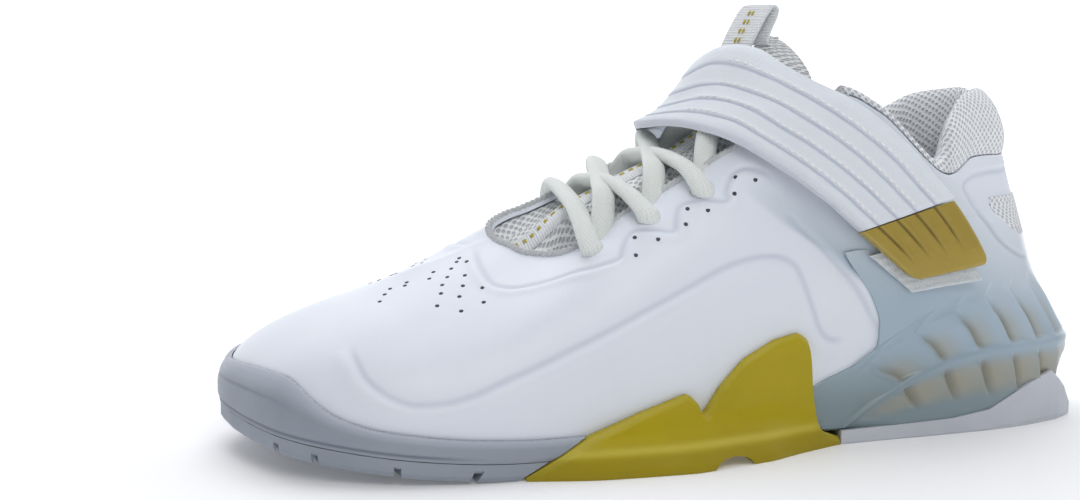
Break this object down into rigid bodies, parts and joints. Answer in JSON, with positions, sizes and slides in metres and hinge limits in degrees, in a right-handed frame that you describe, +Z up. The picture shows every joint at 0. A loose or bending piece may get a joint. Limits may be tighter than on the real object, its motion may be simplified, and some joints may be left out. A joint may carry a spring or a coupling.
{
  "type": "weightlifting shoe",
  "caption": "Left weightlifting shoe: moulded upper, instep strap, wedge heel in a ribbed cage, rubber wrap at the arch, toe bumper and grooved forefoot tread.",
  "frame": {"origin": "on the floor under the middle of the heel's flat tread", "axes": "+X to the toe, +Y to the outer (lateral) side of the left foot, +Z up"},
  "size_m": [0.3021, 0.1104, 0.1448],
  "materials": {
    "white_synthetic": "smooth moulded synthetic, satin",
    "pale_blue_rubber": "matt moulded rubber",
    "gold_rubber": "satin moulded rubber, gold",
    "icy_cage": "translucent moulded plastic, icy blue",
    "pale_mesh": "padded spacer mesh",
    "sock_liner": "brushed textile on foam",
    "white_webbing": "woven webbing and hook tape",
    "bronze_gold_tab": "grained metallic gold synthetic",
    "lace_cord": "braided oval cord"
  },
  "bodies": {
    "root": {"upper": "white_synthetic", "cupsole": "pale_blue_rubber", "outsole_forefoot": "pale_blue_rubber", "midfoot_wrap": "gold_rubber", "heel_cage": "icy_cage", "outsole_heel": "white_synthetic", "insole": "sock_liner", "collar_lining": "pale_mesh", "tongue": "pale_mesh", "strap": "white_synthetic", "strap_tip": "bronze_gold_tab", "hook_tape": "white_webbing", "pull_loop": "white_webbing", "lace_1": "lace_cord", "lace_2": "lace_cord", "lace_3": "lace_cord", "lace_4": "lace_cord"}
  },
  "joints": []
}
